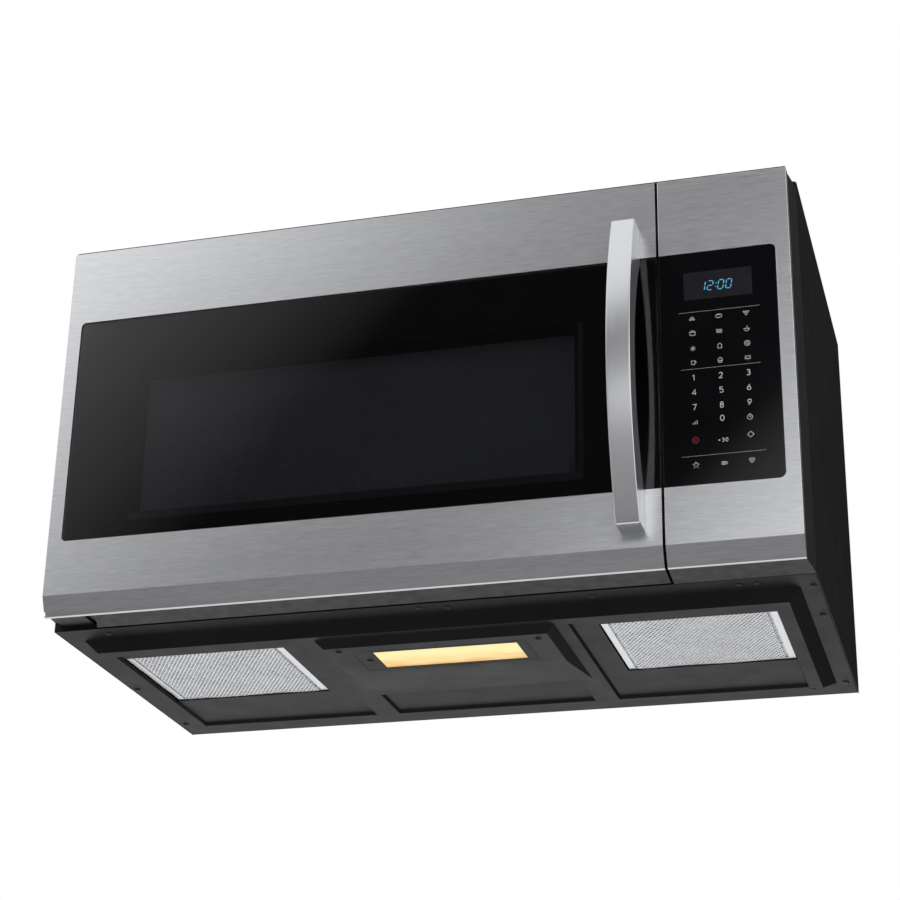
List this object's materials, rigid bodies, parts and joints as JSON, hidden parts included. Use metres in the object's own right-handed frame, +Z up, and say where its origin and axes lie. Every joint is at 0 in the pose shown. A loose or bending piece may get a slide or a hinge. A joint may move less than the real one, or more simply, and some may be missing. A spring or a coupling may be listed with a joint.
{
  "type": "over the range microwave",
  "caption": "Wall-hung microwave oven with a hood below: side-hinged door, turntable, control panel, vent blower, grease filters and cooktop lamp.",
  "frame": {"origin": "on the wall, midway across the back plate, 60 mm above the underside of the bottom flange", "axes": "+X to the right of someone facing the oven, +Y into the wall, +Z up"},
  "size_m": [0.759, 0.476, 0.4367],
  "materials": {
    "black_paint": "satin black paint",
    "stainless": "horizontal brush",
    "zinc": "bare zinc-coated sheet",
    "enamel": "light grey enamel",
    "black_plastic": "fine matte moulding",
    "white_plastic": "off-white moulding",
    "black_glass": "gloss black glass",
    "clear_glass": "clear tempered glass",
    "aluminium": "bare aluminium",
    "handle_metal": "vertical brush",
    "screen_steel": "dark perforated steel",
    "iron": "laminated iron",
    "copper": "enamelled copper winding",
    "circuit_board": "green board",
    "carbon": "charcoal in a net",
    "lamp_lens": "warm diffusing lens",
    "mica": "mica sheet"
  },
  "bodies": {
    "cabinet": {"outer_case": "black_paint", "base_plate": "black_paint", "lamp_cover": "black_paint", "control_fascia": "stainless", "back_plate": "zinc", "lower_deck": "black_paint", "upper_deck": "zinc", "vent_blower_housing": "zinc", "magnetron": "zinc", "turntable_motor": "zinc", "hinge_top": "zinc", "hinge_bottom": "zinc", "oven_cavity": "enamel", "cord_gland": "black_plastic", "vent_grille": "black_plastic", "interlock_switch_lower": "black_plastic", "interlock_switch_monitor": "black_plastic", "interlock_switch_upper": "black_plastic", "control_housing": "black_plastic", "cooling_air_duct": "black_plastic", "high_voltage_diode": "black_plastic", "cavity_thermostat": "black_plastic", "magnetron_thermostat": "black_plastic", "cavity_lamp": "white_plastic", "latch_body": "white_plastic", "control_glass": "black_glass", "display_module": "black_glass", "waveguide": "aluminium", "high_voltage_capacitor": "aluminium", "vent_blower_motor": "iron", "high_voltage_transformer": "iron", "cooling_fan_motor": "copper", "control_board": "circuit_board", "cooktop_lamp_board": "circuit_board", "line_filter_board": "circuit_board", "charcoal_filter": "carbon", "lamp_lens": "lamp_lens", "waveguide_cover": "mica"},
    "door": {"door_skin": "stainless", "door_glass": "black_glass", "door_frame": "black_plastic", "door_screen": "screen_steel", "choke_cover": "black_plastic", "door_inner_glass": "clear_glass", "door_handle": "handle_metal", "latch_spring": "zinc"},
    "latch": {"door_latch": "black_plastic"},
    "interlock_lever": {"interlock_lever": "black_plastic"},
    "turntable": {"turntable_coupler": "white_plastic", "glass_tray": "clear_glass"},
    "roller_ring": {"roller_ring": "white_plastic"},
    "roller_1": {"roller_1": "white_plastic"},
    "roller_2": {"roller_2": "white_plastic"},
    "roller_3": {"roller_3": "white_plastic"},
    "vent_blower_rotor": {"vent_blower_shaft": "zinc", "vent_blower_wheel_left": "zinc", "vent_blower_wheel_right": "zinc"},
    "cooling_fan_rotor": {"cooling_fan_wheel": "white_plastic"},
    "filter_left": {"grease_filter_left": "aluminium"},
    "filter_right": {"grease_filter_right": "aluminium"}
  },
  "joints": [
    {"name": "door_hinge", "type": "hinge", "parent": "cabinet", "child": "door", "pos_m": [-0.3655, -0.397, 0.14], "axis": [0, 0, -1], "range_deg": [0, 100]},
    {"name": "latch_lift", "type": "slide", "parent": "door", "child": "latch", "axis": [0, 0, 1], "range_m": [0, 0.004], "stiffness_N_per_m": 400, "deforming": ["latch_spring"]},
    {"name": "interlock_lever_pivot", "type": "hinge", "parent": "cabinet", "child": "interlock_lever", "pos_m": [0.238, -0.345, 0.065], "axis": [0, 0, -1], "range_deg": [0, 8], "stiffness_Nm_per_rad": 0.02},
    {"name": "turntable_spin", "type": "hinge", "parent": "cabinet", "child": "turntable", "pos_m": [-0.0645, -0.1968, 0.03], "axis": [0, 0, 1], "continuous": true},
    {"name": "roller_ring_spin", "type": "hinge", "parent": "cabinet", "child": "roller_ring", "pos_m": [-0.0645, -0.1968, 0.023], "axis": [0, 0, 1], "continuous": true},
    {"name": "roller_1_spin", "type": "hinge", "parent": "roller_ring", "child": "roller_1", "pos_m": [0.0395, -0.1968, 0.02315], "axis": [1, 0, 0], "continuous": true},
    {"name": "roller_2_spin", "type": "hinge", "parent": "roller_ring", "child": "roller_2", "pos_m": [-0.1165, -0.10673, 0.02315], "axis": [-0.5, 0.866, 0], "continuous": true},
    {"name": "roller_3_spin", "type": "hinge", "parent": "roller_ring", "child": "roller_3", "pos_m": [-0.1165, -0.28687, 0.02315], "axis": [-0.5, -0.866, 0], "continuous": true},
    {"name": "vent_blower_spin", "type": "hinge", "parent": "cabinet", "child": "vent_blower_rotor", "pos_m": [0, -0.093, 0.30675], "axis": [1, 0, 0], "continuous": true},
    {"name": "cooling_fan_spin", "type": "hinge", "parent": "cabinet", "child": "cooling_fan_rotor", "pos_m": [0.3, -0.032, 0.155], "axis": [0, -1, 0], "continuous": true},
    {"name": "filter_left_slide", "type": "slide", "parent": "cabinet", "child": "filter_left", "axis": [0, 1, 0], "range_m": [0, 0.0055]},
    {"name": "filter_right_slide", "type": "slide", "parent": "cabinet", "child": "filter_right", "axis": [0, 1, 0], "range_m": [0, 0.0055]}
  ],
  "couplings": [
    {"joint": "roller_ring_spin", "follows": "turntable_spin", "ratio": 0.5},
    {"joint": "roller_1_spin", "follows": "turntable_spin", "ratio": -7.5912},
    {"joint": "roller_2_spin", "follows": "turntable_spin", "ratio": -7.5912},
    {"joint": "roller_3_spin", "follows": "turntable_spin", "ratio": -7.5912}
  ]
}
